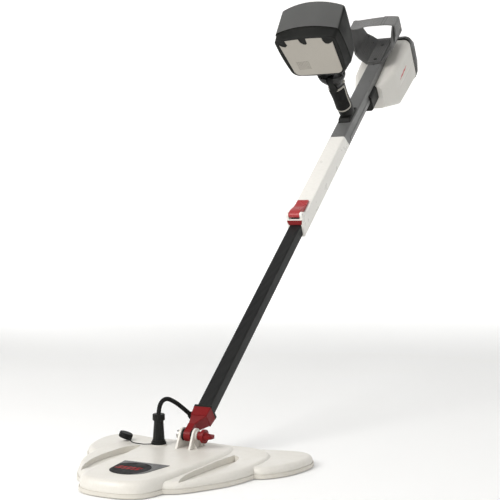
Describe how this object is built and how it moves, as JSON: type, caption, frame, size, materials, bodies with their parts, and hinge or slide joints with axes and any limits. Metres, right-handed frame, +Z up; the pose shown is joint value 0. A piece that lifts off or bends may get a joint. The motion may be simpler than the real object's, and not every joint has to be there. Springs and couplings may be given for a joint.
{
  "type": "metal detector",
  "caption": "Deep-search metal detector with a lobed coil, a square telescopic shaft, a pistol grip under a hooded display, an arm cuff and a system box under the shaft.",
  "frame": {"origin": "centre of the pistol grip, where a closed hand holds it", "axes": "+Z up with the coil flat on the ground, +X from the grip towards the coil, +Y to the operator's left"},
  "size_m": [1.5001, 0.4278, 0.9743],
  "materials": {
    "coil_plastic": "fine moulded grain, warm light grey",
    "cover_plastic": "scuffed beige wear cover",
    "black_tube": "black fibre tube, satin",
    "white_sleeve": "smooth white lacquer",
    "grey_tube": "charcoal satin lacquer",
    "red_plastic": "deep red, semi-gloss",
    "dark_plastic": "fine moulded grain, near black",
    "housing_plastic": "fine moulded grain, dark grey",
    "panel_plastic": "warm light grey, fine grain",
    "white_plastic": "warm white, fine grain",
    "dark_rubber": "ribbed and matt",
    "steel": "machined",
    "copper": "lacquered wire",
    "glass": "clear, hard",
    "screen_panel": "dark, glossy",
    "webbing": "dark grey woven webbing",
    "foam": "dimpled foam",
    "badge": "glossy decal",
    "board": "green circuit board"
  },
  "bodies": {
    "frame": {"upper_tube": "grey_tube", "shaft_sleeve": "white_sleeve", "mouth_liner": "red_plastic", "clamp_pad": "dark_rubber", "lever_pin": "steel", "side_rails": "dark_plastic", "tube_end_plug": "dark_plastic", "grip_half_left": "dark_plastic", "grip_half_right": "dark_plastic", "grip_pad": "dark_rubber", "grip_inlay": "panel_plastic", "grip_foot": "dark_plastic", "display_neck": "dark_plastic", "neck_pin": "steel", "trigger_pin": "steel", "box_mount": "dark_plastic", "system_box_shell": "white_plastic", "headphone_socket": "steel", "charger_socket": "steel", "battery_pack": "dark_plastic", "main_board": "board"},
    "lower_shaft": {"lower_tube": "black_tube", "tube_guide": "dark_plastic", "lower_bracket": "red_plastic", "cable_gland": "dark_rubber", "bracket_collar": "dark_plastic"},
    "coil": {"coil_shell": "coil_plastic", "coil_skid_cover": "cover_plastic", "transmit_winding": "copper", "receive_winding": "copper", "coil_badge": "badge", "pivot_bolt": "steel", "pivot_washers": "dark_rubber", "coil_boot": "dark_plastic", "coupling_ring": "dark_plastic", "dust_cap": "dark_rubber", "dust_cap_tether": "dark_rubber", "coil_cable": "dark_rubber"},
    "knob": {"wing_knob": "red_plastic"},
    "lever": {"lock_lever": "red_plastic"},
    "display": {"display_housing": "housing_plastic", "back_panel": "panel_plastic", "screen": "screen_panel", "screen_window": "glass", "display_board": "board", "speaker": "dark_plastic"},
    "trigger": {"trigger": "dark_plastic"},
    "switch": {"side_switch": "panel_plastic"},
    "battery_door": {"battery_door": "dark_plastic"},
    "cuff": {"arm_cuff": "dark_plastic", "cuff_pad": "foam", "cuff_screws": "dark_plastic", "arm_strap": "webbing"},
    "key_1": {"key_1": "dark_rubber"},
    "key_2": {"key_2": "dark_rubber"},
    "key_3": {"key_3": "dark_rubber"},
    "key_4": {"key_4": "dark_rubber"},
    "key_5": {"key_5": "dark_rubber"},
    "key_6": {"key_6": "dark_rubber"}
  },
  "joints": [
    {"name": "shaft_slide", "type": "slide", "parent": "frame", "child": "lower_shaft", "axis": [-0.7828, 0, 0.6222], "range_m": [0, 0.22]},
    {"name": "coil_tilt", "type": "hinge", "parent": "lower_shaft", "child": "coil", "pos_m": [0.753, 0, -0.681], "axis": [0, 1, 0], "range_deg": [-60, 28], "deforming": ["coil_cable"]},
    {"name": "knob_turn", "type": "hinge", "parent": "coil", "child": "knob", "pos_m": [0.753, 0, -0.681], "axis": [0, 1, 0], "continuous": true},
    {"name": "lever_open", "type": "hinge", "parent": "frame", "child": "lever", "pos_m": [0.28745, 0, -0.28476], "axis": [0, 1, 0], "range_deg": [0, 75]},
    {"name": "display_tilt", "type": "hinge", "parent": "frame", "child": "display", "pos_m": [0.09382, 0, 0.0753], "axis": [0, 1, 0], "range_deg": [-20, 20]},
    {"name": "trigger_pull", "type": "hinge", "parent": "frame", "child": "trigger", "pos_m": [0.076, 0, 0.03791], "axis": [0, 1, 0], "range_deg": [0, 6], "stiffness_Nm_per_rad": 1, "springref_deg": -5.73},
    {"name": "switch_slide", "type": "slide", "parent": "frame", "child": "switch", "axis": [0.7799, 0, 0.6259], "range_m": [0, 0.006]},
    {"name": "door_open", "type": "hinge", "parent": "frame", "child": "battery_door", "pos_m": [-0.42818, 0, 0.1014], "axis": [0, -1, 0], "range_deg": [0, 85]},
    {"name": "cuff_slide", "type": "slide", "parent": "frame", "child": "cuff", "axis": [-0.7828, 0, 0.6222], "range_m": [-0.018, 0.018]},
    {"name": "key_1_press", "type": "slide", "parent": "display", "child": "key_1", "axis": [0.5452, 0, -0.8383], "range_m": [0, 0.001], "stiffness_N_per_m": 500, "springref_m": -0.001},
    {"name": "key_2_press", "type": "slide", "parent": "display", "child": "key_2", "axis": [0.5452, 0, -0.8383], "range_m": [0, 0.001], "stiffness_N_per_m": 500, "springref_m": -0.001},
    {"name": "key_3_press", "type": "slide", "parent": "display", "child": "key_3", "axis": [0.5452, 0, -0.8383], "range_m": [0, 0.001], "stiffness_N_per_m": 500, "springref_m": -0.001},
    {"name": "key_4_press", "type": "slide", "parent": "display", "child": "key_4", "axis": [0.5452, 0, -0.8383], "range_m": [0, 0.001], "stiffness_N_per_m": 500, "springref_m": -0.001},
    {"name": "key_5_press", "type": "slide", "parent": "display", "child": "key_5", "axis": [0.5452, 0, -0.8383], "range_m": [0, 0.001], "stiffness_N_per_m": 500, "springref_m": -0.001},
    {"name": "key_6_press", "type": "slide", "parent": "display", "child": "key_6", "axis": [0.5452, 0, -0.8383], "range_m": [0, 0.001], "stiffness_N_per_m": 500, "springref_m": -0.001}
  ]
}
